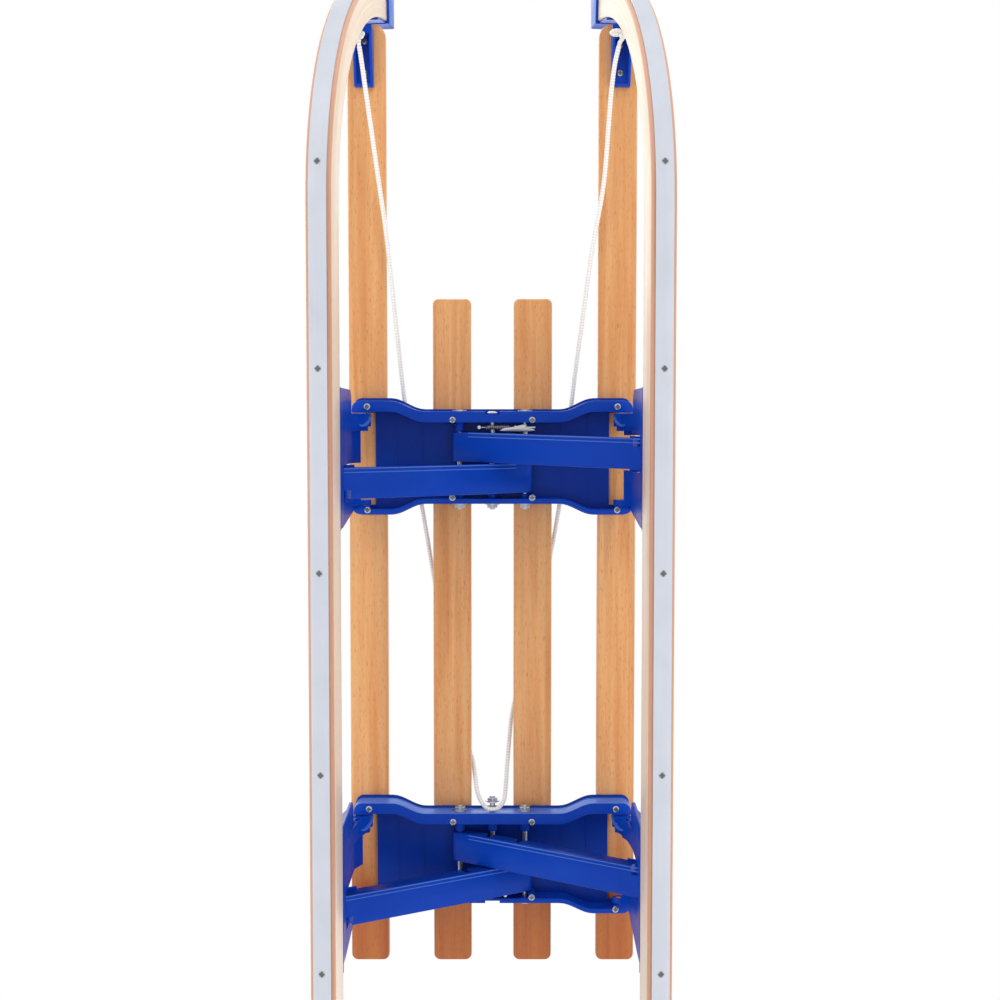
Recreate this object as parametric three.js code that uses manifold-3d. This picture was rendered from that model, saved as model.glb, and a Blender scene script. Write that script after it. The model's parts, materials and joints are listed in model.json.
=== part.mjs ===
import * as THREE from 'three';
import * as BufferGeometryUtils from 'three/addons/utils/BufferGeometryUtils.js';
import Module from 'manifold-3d';

// Foldable wooden sledge, in millimetres: X across, -Y towards the horns, +Z up, origin on the ground
// below the middle of the overall box. The rider's left is +X.

const wasm = await Module();
wasm.setup();

// Driving dimensions
const overallFront = 550;
const overallRear = 550;
const seatUnderside = 213;
const slatThickness = 12;
const slatWidth = 42.5;
const outerSlatCentre = 137.7;
const innerSlatCentre = 44.7;
const innerSlatFront = 200;
const slatRear = 543;
const trayFrontY = -25.4;
const trayRearY = 418.7;
const hingeX = 140;
const hingeDrop = 16;
const splayDegrees = 8;
const runnerGauge = 331;

// Fits
const touchGap = 0.3;
const runGap = 0.3;
const overrun = 5;

// Runner bar, rail and horn
const barWidth = 25;
const barHeight = 34;
const barEdge = 2;
const railWidth = 18;
const railThickness = 2.2;
const railEdge = 0.6;
const hornRadius = 272;
const hornSweepDegrees = 90;
const slatNoseGap = 6.2;
const railSweepDegrees = 78;
const runnerRearRadius = 14;
const capWall = 3.2;
const capLength = 26;
const capLipShare = 0.35;
const capLipThickness = 2.2;

// Slats
const slatEdge = 2.5;
const outerFrontRadius = 15;
const innerFrontRadius = 6;
const slatRearRadius = 7;

// Seat trays
const trayHalfLength = 153.5;
const trayHalfWidthEnd = 62;
const trayHalfWidthMiddle = 50.4;
const trayDepth = 25;
const trayFloor = 2.7;
const trayFloorEnd = 129;
const trayFrontWall = 12;
const trayRearWall = 5.4;
const trayEarFront = 13;
const trayEarRear = 9.5;
const trayWaistOuter = 112;
const trayWaistInner = 74;
const trayCorner = 9;
const trayEdge = 0.8;
const trayRibWidth = 2;
const trayRibDepth = 0.7;
const trayRibShares = [0.82, 0.6];
const notchRadius = 8;

// Through bolts and nuts
const boltX = 36;
const boltDrop = 12.6;
const boltRadius = 3;
const boltHeadRadius = 6.2;
const boltHeadHeight = 2.6;
const nutAcross = 11;
const nutHeight = 4.6;
const boltEnd = 1.6;
const ropeStandOff = 10.5;

// Struts
const strutWidthShare = 0.516;
const strutHeight = 18;
const strutWall = 2.4;
const strutTipShare = 0.3795;
const strutReach = 5;
const leftStrutShare = -0.1855;
const rightStrutShare = 0.363;
const leftStrutSkew = 6;
const rightStrutSkew = 2;
const strutEyeRadius = 8;
const strutEyeLength = 16;
const strutTongueCut = 9;
const strutTongueLength = 8;
const strutRibPitch = 24;
const strutTipGap = 0.6;

// Runner brackets
const webInner = 150.5;
const webThickness = 4;
const webFrontPast = 11;
const webRearTopInset = 5;
const webRearLowPast = 7;
const webTopDrop = 11;
const webWingDrop = 37;
const webChamfer = 8;
const sillClearance = 4.4;
const windowMargin = 3;
const saddleThickness = 6;
const saddleRise = 18;
const knuckleRadius = 7;
const frontKnuckleInset = 14;
const frontKnuckleLength = 14;
const rearKnuckleInset = 10;
const rearKnuckleLength = 5.6;
const armFootDrop = 29;
const armThickness = 8;
const armTopDrop = 8;
const armTopX = 143.5;
const braceLength = 19;
const braceThickness = 4;
const braceSteps = 8;
const pinRadius = 3;
const pinInset = 2.5;

// Small front brackets and horn pins
const frontBracketWidth = 21;
const noseClearance = 5.9;
const frontBracketLength = 61.6;
const frontBracketDrop = 24;
const frontBracketWall = 3;
const frontBracketBlock = 9;
const hornPinRadius = 3.5;
const hornPinInset = 8.5;
const hornPinPast = 28;

// Springs and latch levers
const springWire = 1.2;
const springRadius = 2.1;
const springTurns = 14;
const springPitch = 2;
const springStart = -8;
const springTail = 4;
const springEnd = 1.2;
const frontSpringY = -33;
const rearSpringY = 41.7;
const springDrop = 19.5;
const postRadius = 2;
const postDrop = 5;
const latchThickness = 1.6;
const latchHeight = 11;
const latchTab = 4.4;

// Tow rope and its knots
const ropeDiameter = 5;
const knotRadius = 7.5;
const knotInset = 5;
const knotSweepDegrees = 57.9;

const splay = THREE.MathUtils.degToRad(splayDegrees);
const hornSweep = THREE.MathUtils.degToRad(hornSweepDegrees);
const railSweep = THREE.MathUtils.degToRad(railSweepDegrees);
const slatTop = seatUnderside + slatThickness;
const trayTop = seatUnderside - touchGap;
const trayBottom = seatUnderside - trayDepth;
const trayFloorBottom = trayTop - trayFloor;
const boltZ = seatUnderside - boltDrop;
const barBottom = railThickness + touchGap;
const barTop = barBottom + barHeight;
const hornStart = hornRadius + capWall - overallFront;
const hornCentreZ = barBottom + hornRadius;
const runnerLift = (railWidth / 2 - railEdge) * Math.sin(splay);
const hingeZ = seatUnderside - hingeDrop;

// How far ahead of the middle the horn's rear face stands at a height
const hornRearAt = (z) => Math.sqrt((hornRadius - barHeight) ** 2 - (hornCentreZ - z) ** 2) - hornStart;
const outerSlatFront = hornRearAt(seatUnderside) - slatNoseGap;
const frontBracketNose = hornRearAt(seatUnderside - frontBracketDrop) - noseClearance;
const frontBracketTail = frontBracketNose - frontBracketLength;
const hornPinRear = frontBracketNose - hornPinInset;
const hornPinFront = frontBracketNose + hornPinPast;

// The struts fill a share of the tray's width and come down to a share of the height over the bars
const strutWidth = trayHalfWidthEnd * strutWidthShare;
const leftStrutY = trayHalfWidthEnd * leftStrutShare;
const rightStrutY = trayHalfWidthEnd * rightStrutShare;
const strutTipZ = barTop + (boltZ - barTop) * strutTipShare;
const strutAngle = Math.atan2(boltZ - strutTipZ, webInner + boltX);
const sillTop = strutTipZ - strutHeight / 2 / Math.cos(strutAngle) - sillClearance;

// The runner brackets follow the tray's ears along the sledge and the hinge in height
const webFront = trayHalfWidthEnd + webFrontPast;
const webRearTop = trayHalfWidthEnd - webRearTopInset;
const webRearLow = trayHalfWidthEnd + webRearLowPast;
const webTop = hingeZ - webTopDrop;
const webWingTop = hingeZ - webWingDrop;
const frontKnuckleStart = frontKnuckleInset - trayHalfWidthEnd;
const frontKnuckleEnd = frontKnuckleStart + frontKnuckleLength;
const rearKnuckleEnd = trayHalfWidthEnd - rearKnuckleInset;
const rearKnuckleStart = rearKnuckleEnd - rearKnuckleLength;
const armFoot = hingeZ - armFootDrop;
const armTop = hingeZ - armTopDrop;
const straightDown = -Math.PI / 2;

const sledge = new THREE.Group();

// Materials
const slatWood = [0xd29a62, 0.45, 0];
const runnerWood = [0xf3e2c4, 0.5, 0];
const bluePlastic = [0x123fa8, 0.42, 0];
const zincSteel = [0xc9ccd0, 0.35, 1];
const railSteel = [0xd5dae2, 0.4, 0.8];
const whiteRope = [0xf4f3ef, 0.85, 0];

function place(parent, name, geometry, [color, roughness, metalness]) {
  const material = new THREE.MeshStandardMaterial({ color, roughness, metalness });
  const mesh = new THREE.Mesh(geometry, material);
  mesh.name = name;
  parent.add(mesh);
  return mesh;
}

// Joining and cutting closed meshes
function toSolid(geometry) {
  const bare = geometry.clone();
  bare.deleteAttribute('normal');
  bare.deleteAttribute('uv');
  const merged = BufferGeometryUtils.mergeVertices(bare, 1e-4);
  const vertProperties = new Float32Array(merged.attributes.position.array);
  const triVerts = new Uint32Array(merged.index.array);
  return new wasm.Manifold(new wasm.Mesh({ numProp: 3, vertProperties, triVerts }));
}

function toGeometry(solid) {
  const mesh = solid.getMesh();
  const geometry = new THREE.BufferGeometry();
  geometry.setAttribute('position', new THREE.BufferAttribute(new Float32Array(mesh.vertProperties), 3));
  geometry.setIndex(new THREE.BufferAttribute(new Uint32Array(mesh.triVerts), 1));
  return geometry;
}

function join(parts) {
  return toGeometry(parts.map(toSolid).reduce((whole, next) => whole.add(next)));
}

function cut(body, tools) {
  return toGeometry(tools.map(toSolid).reduce((whole, tool) => whole.subtract(tool), toSolid(body)));
}

// The mirror image across the middle plane, with its faces still pointing out
function mirrored(geometry) {
  const copy = geometry.clone();
  copy.scale(-1, 1, 1);
  const index = copy.index.array;
  for (let i = 0; i < index.length; i += 3) {
    [index[i + 1], index[i + 2]] = [index[i + 2], index[i + 1]];
  }
  return copy;
}

const onSide = (geometry, side) => (side > 0 ? geometry : mirrored(geometry));

// Prisms: an outline in two axes, run along the third from low to high, with rounded rims
const axisX = new THREE.Vector3(1, 0, 0);
const axisY = new THREE.Vector3(0, 1, 0);
const axisZ = new THREE.Vector3(0, 0, 1);

function prism(points, low, high, edge, basis) {
  const shape = new THREE.Shape(points.map(([u, v]) => new THREE.Vector2(u, v)));
  const geometry = new THREE.ExtrudeGeometry(shape, {
    depth: high - low - 2 * edge,
    steps: 1,
    bevelEnabled: edge > 0,
    bevelThickness: edge,
    bevelSize: edge,
    bevelOffset: -edge,
    bevelSegments: 2
  });
  geometry.translate(0, 0, low + edge);
  geometry.applyMatrix4(new THREE.Matrix4().makeBasis(...basis));
  return geometry;
}

const prismX = (points, low, high, edge = 0) => prism(points, low, high, edge, [axisY, axisZ, axisX]);
const prismZ = (points, low, high, edge = 0) => prism(points, low, high, edge, [axisX, axisY, axisZ]);
const prismY = (points, low, high, edge = 0) => prism(points.map(([x, z]) => [z, x]), low, high, edge,
  [axisZ, axisX, axisY]);

function block(x0, x1, y0, y1, z0, z1) {
  const geometry = new THREE.BoxGeometry(x1 - x0, y1 - y0, z1 - z0);
  geometry.translate((x0 + x1) / 2, (y0 + y1) / 2, (z0 + z1) / 2);
  return geometry;
}

function rodY(radius, y0, y1, x, z, sides = 20) {
  const geometry = new THREE.CylinderGeometry(radius, radius, y1 - y0, sides);
  geometry.translate(x, (y0 + y1) / 2, z);
  return geometry;
}

function rodZ(radius, z0, z1, x, y, sides = 16) {
  const geometry = new THREE.CylinderGeometry(radius, radius, z1 - z0, sides);
  geometry.rotateX(Math.PI / 2);
  geometry.translate(x, y, (z0 + z1) / 2);
  return geometry;
}

function arc(centreU, centreV, radius, from, to, steps) {
  const points = [];
  for (let i = 0; i <= steps; i += 1) {
    const angle = from + ((to - from) * i) / steps;
    points.push([centreU + radius * Math.cos(angle), centreV + radius * Math.sin(angle)]);
  }
  return points;
}

// Seat slats
function slat(centreX, front, frontRadius) {
  const half = slatWidth / 2;
  const quarter = Math.PI / 2;
  const points = [
    ...arc(half - frontRadius, -front + frontRadius, frontRadius, -quarter, 0, 6),
    ...arc(half - slatRearRadius, slatRear - slatRearRadius, slatRearRadius, 0, quarter, 5),
    ...arc(slatRearRadius - half, slatRear - slatRearRadius, slatRearRadius, quarter, 2 * quarter, 5),
    ...arc(frontRadius - half, -front + frontRadius, frontRadius, 2 * quarter, 3 * quarter, 6)
  ];
  const geometry = prismZ(points, seatUnderside, slatTop, slatEdge);
  geometry.translate(centreX, 0, 0);
  return geometry;
}

function buildSlats() {
  for (const [name, side] of [['right', -1], ['left', 1]]) {
    const outer = slat(side * outerSlatCentre, outerSlatFront, outerFrontRadius);
    const inner = slat(side * innerSlatCentre, innerSlatFront, innerFrontRadius);
    place(sledge, `slat_outer_${name}`, outer, slatWood);
    place(sledge, `slat_inner_${name}`, inner, slatWood);
  }
}

// Seat trays: waisted and open below, with an ear at each corner for the hinge pins
function trayFlank(frontInset) {
  const flank = [];
  const steps = 8;
  for (let i = 0; i <= steps; i += 1) {
    const t = i / steps;
    const ease = (1 - Math.cos(Math.PI * t)) / 2;
    flank.push([
      trayWaistOuter - (trayWaistOuter - trayWaistInner) * t,
      trayHalfWidthEnd - (trayHalfWidthEnd - trayHalfWidthMiddle) * ease - frontInset
    ]);
  }
  return flank;
}

function aroundTray(rearQuarter, frontQuarter) {
  return [
    ...rearQuarter,
    ...rearQuarter.map(([x, y]) => [-x, y]).reverse(),
    ...frontQuarter.map(([x, y]) => [-x, -y]),
    ...frontQuarter.map(([x, y]) => [x, -y]).reverse()
  ];
}

function trayOutline() {
  const corner = arc(trayHalfLength - trayCorner, trayHalfWidthEnd - trayCorner, trayCorner, 0, Math.PI / 2, 4);
  const quarter = [...corner, ...trayFlank(0)];
  return aroundTray(quarter, quarter);
}

function trayHollow() {
  const end = trayFloorEnd + overrun;
  const rear = [[end, trayHalfWidthEnd - trayRearWall], ...trayFlank(trayRearWall)];
  const front = [[end, trayHalfWidthEnd - trayFrontWall], ...trayFlank(trayFrontWall)];
  return prismZ(aroundTray(rear, front), trayBottom - overrun, trayFloorBottom);
}

const boltsX = [-boltX, 0, boltX];

// The bays between the ears, where the runner brackets' knuckles turn
function earBay(side) {
  const bay = block(trayFloorEnd, trayHalfLength + overrun, trayEarFront - trayHalfWidthEnd,
    trayHalfWidthEnd - trayEarRear, trayBottom - overrun, trayTop + overrun);
  return onSide(bay, side);
}

function tray(trayY, turned) {
  const body = prismZ(trayOutline(), trayBottom, trayTop, trayEdge);
  const tools = [trayHollow(), earBay(1), earBay(-1)];
  for (const side of [-1, 1]) {
    tools.push(rodY(pinRadius + runGap, pinInset - trayHalfWidthEnd, trayHalfWidthEnd - pinInset,
      side * hingeX, hingeZ));
  }
  for (const x of boltsX) {
    tools.push(rodY(boltRadius + runGap, -trayHalfWidthEnd, trayHalfWidthEnd, x, boltZ));
  }
  const headSide = turned ? 1 : -1;
  const notchY = headSide * trayHalfWidthMiddle;
  const notchDepth = boltHeadHeight + touchGap;
  tools.push(rodY(notchRadius, notchY - notchDepth, notchY + notchDepth, 0, boltZ));
  tools.push(block(-notchRadius, notchRadius, notchY - notchDepth, notchY + notchDepth,
    trayBottom - overrun, boltZ));
  const shell = cut(body, tools);
  const ribReach = trayHalfWidthMiddle - trayFrontWall / 2;
  const ribs = trayRibShares.flatMap((share) => [-1, 1].map((side) => {
    const x = side * trayFloorEnd * share;
    return block(x - trayRibWidth / 2, x + trayRibWidth / 2, -ribReach, ribReach,
      trayFloorBottom - trayRibDepth, trayTop - touchGap);
  }));
  const whole = join([shell, ...ribs]);
  whole.translate(0, trayY, 0);
  return whole;
}

// A domed bolt through both walls of a tray, its head sunk into the notch on the middle one
function throughBolt(x, standOff) {
  const sunk = x === 0 ? boltHeadHeight : 0;
  const headInner = trayHalfWidthMiddle - sunk + touchGap;
  const shankEnd = trayHalfWidthMiddle + 2 * touchGap + nutHeight + boltEnd + standOff;
  const profile = [
    [0, -headInner - boltHeadHeight],
    [boltHeadRadius * 0.55, -headInner - boltHeadHeight * 0.9],
    [boltHeadRadius, -headInner - boltHeadHeight * 0.35],
    [boltHeadRadius, -headInner],
    [boltRadius, -headInner],
    [boltRadius, shankEnd],
    [0, shankEnd]
  ];
  const bolt = new THREE.LatheGeometry(profile.map(([r, h]) => new THREE.Vector2(r, h)), 18);
  bolt.translate(x, 0, boltZ);
  return bolt;
}

function hexNut(x, standOff) {
  const low = trayHalfWidthMiddle + touchGap + standOff;
  const high = low + nutHeight;
  const inner = (boltRadius + runGap) / Math.cos(Math.PI / 6);
  const outer = nutAcross / Math.sqrt(3);
  const profile = [[inner, low], [outer, low], [outer, high], [inner, high], [inner, low]];
  const nut = new THREE.LatheGeometry(profile.map(([r, h]) => new THREE.Vector2(r, h)), 6);
  nut.translate(x, 0, boltZ);
  return nut;
}

function buildTrays() {
  for (const [end, trayY, turned] of [['front', trayFrontY, false], ['rear', trayRearY, true]]) {
    place(sledge, `tray_${end}`, tray(trayY, turned), bluePlastic);
    boltsX.forEach((x, i) => {
      const standOff = turned && x === 0 ? ropeStandOff : 0;
      const bolt = throughBolt(x, standOff);
      const nut = hexNut(x, standOff);
      for (const piece of [bolt, nut]) {
        if (turned) piece.rotateZ(Math.PI);
        piece.translate(0, trayY, 0);
      }
      place(sledge, `bolt_${end}_${i + 1}`, bolt, zincSteel);
      place(sledge, `nut_${end}_${i + 1}`, nut, zincSteel);
    });
  }
}

// Hinge pins in the tray ears: short ones, so that the lifted struts pass between them
function buildHingePins() {
  const reach = trayHalfWidthEnd - pinInset - touchGap;
  for (const [end, trayY] of [['front', trayFrontY], ['rear', trayRearY]]) {
    for (const [name, side] of [['left', 1], ['right', -1]]) {
      const fore = rodY(pinRadius, trayY - reach, trayY + frontKnuckleEnd, side * hingeX, hingeZ);
      const aft = rodY(pinRadius, trayY + rearKnuckleStart, trayY + reach, side * hingeX, hingeZ);
      place(sledge, `hinge_pin_${end}_${name}_fore`, fore, zincSteel);
      place(sledge, `hinge_pin_${end}_${name}_aft`, aft, zincSteel);
    }
  }
}

// Small front brackets under the outer slats: they carry the pins that the horns turn on
function frontBracket(side) {
  const half = frontBracketWidth / 2;
  const x = side * hingeX;
  const bottom = seatUnderside - frontBracketDrop;
  const body = prismX([
    [-frontBracketNose, bottom],
    [-frontBracketNose + frontBracketWidth, bottom],
    [-frontBracketTail, trayTop - frontBracketWall * 2],
    [-frontBracketTail, trayTop],
    [-frontBracketNose, trayTop]
  ], x - half, x + half, trayEdge);
  const channel = block(x - half + frontBracketWall, x + half - frontBracketWall,
    -frontBracketNose + frontBracketBlock, -frontBracketTail - frontBracketWall,
    bottom - overrun, trayTop - frontBracketWall);
  const pinHole = rodY(hornPinRadius + runGap, -frontBracketNose - overrun,
    -frontBracketNose + frontBracketBlock + overrun, x, hingeZ);
  return cut(body, [channel, pinHole]);
}

// Runner bars: straight on the ground, then nearly a quarter round up into the horn
function hornBand(near, far, from, to, steps) {
  return [
    ...arc(hornStart, hornCentreZ, hornRadius - near, straightDown - from, straightDown - to, steps),
    ...arc(hornStart, hornCentreZ, hornRadius - far, straightDown - to, straightDown - from, steps)
  ];
}

function runnerBar(side) {
  const rear = overallRear;
  const quarter = Math.PI / 2;
  const points = [
    ...hornBand(0, barHeight, 0, hornSweep, 26),
    ...arc(rear - runnerRearRadius, barTop - runnerRearRadius, runnerRearRadius, quarter, 0, 5),
    ...arc(rear - runnerRearRadius, barBottom + runnerRearRadius, runnerRearRadius, 0, -quarter, 5)
  ];
  const bar = prismX(points, -barWidth / 2, barWidth / 2, barEdge);
  const pinHole = rodY(hornPinRadius + runGap, -hornPinFront - runGap, -hornPinRear,
    side * (hingeX - runnerGauge / 2), hingeZ - runnerLift);
  pinHole.rotateY(side * splay);
  return cut(bar, [pinHole]);
}

function runnerRail() {
  const rear = overallRear - runnerRearRadius;
  const band = hornBand(-railThickness - touchGap, -touchGap, 0, railSweep, 24);
  return prismX([...band, [rear, railThickness], [rear, 0]], -railWidth / 2, railWidth / 2, railEdge);
}

// Blue cap over the horn's end, with a lip that runs down its rear face
function hornCap() {
  const tip = hornSweep + (capWall + touchGap) / hornRadius;
  const mouth = hornSweep - capLength / hornRadius;
  const pinSweep = Math.acos((hornCentreZ - hingeZ) / (hornRadius - barHeight));
  const lipEnd = pinSweep + (mouth - pinSweep) * capLipShare;
  const half = barWidth / 2 + capWall;
  const shell = prismX(hornBand(-capWall, barHeight + capWall, mouth, tip, 4), -half, half, capWall / 3);
  const lip = prismX(hornBand(barHeight, barHeight + touchGap + capLipThickness, lipEnd, tip, 10),
    -barWidth / 2 + barEdge, barWidth / 2 - barEdge);
  const pocket = prismX(hornBand(-touchGap, barHeight + touchGap, lipEnd - overrun / hornRadius,
    hornSweep + touchGap / hornRadius, 12), -barWidth / 2 - touchGap, barWidth / 2 + touchGap);
  return cut(join([shell, lip]), [pocket]);
}

// A point of the tilted runner, from its own width and height, in the sledge's frame
function runnerPoint(across, up) {
  return [
    runnerGauge / 2 + across * Math.cos(splay) - up * Math.sin(splay),
    runnerLift + across * Math.sin(splay) + up * Math.cos(splay)
  ];
}

// Runner brackets: a web from the bar up to the hinge knuckles, open where the lifted strut passes
function bracketWeb(window, low) {
  return prismX([
    [-webFront, low],
    [webRearLow, low],
    [webRearLow, sillTop - webChamfer],
    [webRearTop, webTop],
    [window[1], webTop],
    [window[1], sillTop],
    [window[0], sillTop],
    [window[0], webTop],
    [frontKnuckleStart, webTop],
    [frontKnuckleStart, webWingTop],
    [-webFront + webChamfer, webWingTop],
    [-webFront, webWingTop - webChamfer]
  ], webInner, webInner + webThickness, trayEdge);
}

function bracketSaddle(low) {
  return prismY([
    runnerPoint(-barWidth / 2, barTop + touchGap),
    runnerPoint(barWidth / 2, barTop + touchGap),
    runnerPoint(barWidth / 2, barTop + saddleThickness),
    [webInner + webThickness, low + saddleRise],
    [webInner, low + saddleRise]
  ], -webFront, webRearLow, trayEdge);
}

function bracketArm(y0, y1) {
  const outer = webInner + webThickness;
  return prismY([
    [webInner + touchGap, armFoot],
    [outer, armFoot],
    [outer, armFoot + armThickness],
    [armTopX, armTop],
    [armTopX, armTop - webThickness]
  ], y0, y1);
}

function bracketKnuckle(y0, y1) {
  const neck = prismY([
    [webInner + touchGap, armFoot],
    [webInner + webThickness, armFoot],
    [webInner + webThickness, webTop],
    [hingeX + knuckleRadius * 0.6, hingeZ + knuckleRadius * 0.8],
    [hingeX - knuckleRadius * 0.9, hingeZ - knuckleRadius * 0.4],
    [armTopX, armTop - webThickness]
  ], y0, y1);
  return [rodY(knuckleRadius, y0, y1, hingeX, hingeZ, 24), neck];
}

// The curved brace from under the front knuckle down to the foot of the web
function bracketBrace() {
  const topX = hingeX - knuckleRadius * 0.6;
  const topZ = hingeZ - knuckleRadius;
  const curve = (grow) => Array.from({ length: braceSteps + 1 }, (_, i) => {
    const turn = (i / braceSteps) * (Math.PI / 2);
    return [
      topX + (webInner - topX + grow) * Math.sin(turn),
      sillTop + (topZ - sillTop + grow) * Math.cos(turn)
    ];
  });
  const outline = [...curve(0), ...curve(braceThickness - touchGap).reverse()];
  return prismY(outline, frontKnuckleStart, frontKnuckleStart + braceLength);
}

function bracketRib(y, low) {
  const outer = webInner + webThickness;
  const [footX, footZ] = runnerPoint(barWidth / 2, barTop + saddleThickness);
  return prismY([
    [outer - touchGap, low],
    [footX - webThickness, footZ - touchGap],
    [outer - touchGap, (sillTop + webWingTop) / 2]
  ], y, y + webThickness);
}

function runnerBracket(window) {
  const low = runnerPoint(0, barTop)[1] + saddleThickness / 2;
  const ribsY = [-webFront, frontKnuckleStart, window[0] - webThickness, window[1], webRearTop - webThickness];
  const parts = [
    bracketWeb(window, low),
    bracketSaddle(low),
    ...bracketKnuckle(frontKnuckleStart, frontKnuckleEnd),
    ...bracketKnuckle(rearKnuckleStart, rearKnuckleEnd),
    bracketArm(frontKnuckleStart, window[0]),
    bracketArm(window[1], rearKnuckleEnd),
    bracketBrace(),
    ...ribsY.map((y) => bracketRib(y, low))
  ];
  const bore = rodY(pinRadius + runGap, frontKnuckleStart - overrun, rearKnuckleEnd + overrun, hingeX, hingeZ);
  return cut(join(parts), [bore]);
}

function strutWindow(side) {
  const y = side > 0 ? leftStrutY + leftStrutSkew : rightStrutY + rightStrutSkew;
  const half = strutWidth / 2 + windowMargin;
  return [y - half, Math.min(y + half, rearKnuckleStart - strutTipGap)];
}

function placedBracket(side, trayY) {
  const whole = onSide(runnerBracket(strutWindow(side)), side);
  whole.translate(0, trayY, 0);
  return whole;
}

// A knot against the horn's rear face, where the rope comes out of its hole
function ropeKnot(side) {
  const sweep = THREE.MathUtils.degToRad(knotSweepDegrees);
  const away = hornRadius - barHeight - knotRadius - touchGap;
  const knot = new THREE.SphereGeometry(knotRadius, 14, 10);
  knot.translate(-side * knotInset, hornStart - away * Math.sin(sweep), hornCentreZ - away * Math.cos(sweep));
  return knot;
}

function buildRunners() {
  for (const [name, side] of [['left', 1], ['right', -1]]) {
    const frame = new THREE.Group();
    frame.position.set((side * runnerGauge) / 2, 0, runnerLift);
    frame.rotation.y = -side * splay;
    sledge.add(frame);
    place(frame, `runner_${name}`, runnerBar(side), runnerWood);
    place(frame, `rail_${name}`, runnerRail(), railSteel);
    place(frame, `horn_cap_${name}`, hornCap(), bluePlastic);
    place(frame, `rope_knot_${name}`, ropeKnot(side), whiteRope);
    place(sledge, `runner_bracket_front_${name}`, placedBracket(side, trayFrontY), bluePlastic);
    place(sledge, `runner_bracket_rear_${name}`, placedBracket(side, trayRearY), bluePlastic);
    place(sledge, `front_bracket_${name}`, frontBracket(side), bluePlastic);
    const pin = rodY(hornPinRadius, -hornPinFront, -hornPinRear, side * hingeX, hingeZ);
    place(sledge, `horn_pin_${name}`, pin, zincSteel);
  }
}

// Struts: ribbed channels that turn on a bolt and brace the runner bracket on the far side
function strutBody() {
  const half = strutHeight / 2;
  const halfWidth = strutWidth / 2;
  const run = webInner + strutReach + boltX;
  const upperTip = (run - half * Math.sin(strutAngle)) / Math.cos(strutAngle);
  const lowerTip = (run + half * Math.sin(strutAngle)) / Math.cos(strutAngle);
  const body = prismY([
    ...arc(0, 0, strutEyeRadius, straightDown, 3 * straightDown, 12),
    [strutEyeLength, half],
    [upperTip, half],
    [lowerTip, -half],
    [strutEyeLength, -half]
  ], -halfWidth, halfWidth, trayEdge);
  const cells = Math.floor((upperTip - strutEyeLength) / strutRibPitch);
  const pitch = (upperTip - strutEyeLength - strutWall) / cells;
  const tools = [rodY(boltRadius + runGap, -strutWidth, strutWidth, 0, 0)];
  for (let i = 0; i < cells; i += 1) {
    const x = strutEyeLength + i * pitch;
    tools.push(block(x, x + pitch - strutWall, strutWall - halfWidth, halfWidth - strutWall,
      strutWall - half, half + overrun));
  }
  return cut(body, [...tools, boltSlot(boltX), boltSlot(2 * boltX)]);
}

// The slot that lets the lifted strut come up round one of the other bolts
function boltSlot(distance) {
  const reach = boltRadius + 2 * runGap;
  const entry = Math.asin((strutHeight / 2 + reach) / distance);
  return block(distance * Math.cos(entry) - reach, distance + reach, -strutWidth, strutWidth,
    -reach, strutHeight / 2 + overrun);
}

function placedStrut(side, trayY) {
  const strutY = side > 0 ? leftStrutY : rightStrutY;
  const skew = side > 0 ? leftStrutSkew : rightStrutSkew;
  const length = (webInner + strutReach + boltX) / Math.cos(strutAngle);
  const tongue = block(length - strutTongueLength, length * 2, strutWidth / 2 - strutTongueCut, strutWidth,
    -strutHeight, strutHeight);
  if (side > 0) tongue.rotateX(Math.PI);
  const geometry = cut(strutBody(), [tongue]);
  const position = geometry.attributes.position;
  for (let i = 0; i < position.count; i += 1) {
    const share = Math.max(0, (position.getX(i) - strutEyeLength) / length);
    position.setY(i, position.getY(i) + skew * share);
  }
  geometry.rotateY(strutAngle);
  geometry.translate(-boltX, strutY, boltZ);
  const whole = onSide(geometry, side);
  whole.translate(0, trayY, 0);
  return whole;
}

function buildStruts() {
  for (const [end, trayY] of [['front', trayFrontY], ['rear', trayRearY]]) {
    place(sledge, `strut_${end}_left`, placedStrut(1, trayY), bluePlastic);
    place(sledge, `strut_${end}_right`, placedStrut(-1, trayY), bluePlastic);
  }
}

// Latch springs: one unbroken wire with straight ends
function springPath() {
  const stepsPerTurn = 8;
  const total = springTurns * stepsPerTurn;
  const finish = springStart + springTurns * springPitch;
  const points = [[springStart - springTail, 0, 0], [springStart - springTail + springEnd, 0, 0]];
  for (let i = 0; i <= total; i += 1) {
    const turn = (i / stepsPerTurn) * 2 * Math.PI;
    const radius = springRadius * Math.min(1, i / stepsPerTurn, (total - i) / stepsPerTurn);
    points.push([
      springStart + (i / stepsPerTurn) * springPitch,
      radius * Math.cos(turn),
      radius * Math.sin(turn)
    ]);
  }
  points.push([finish + springTail - springEnd, 0, 0], [finish + springTail, 0, 0]);
  return points.map(([x, y, z]) => new THREE.Vector3(x, y, z));
}

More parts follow.
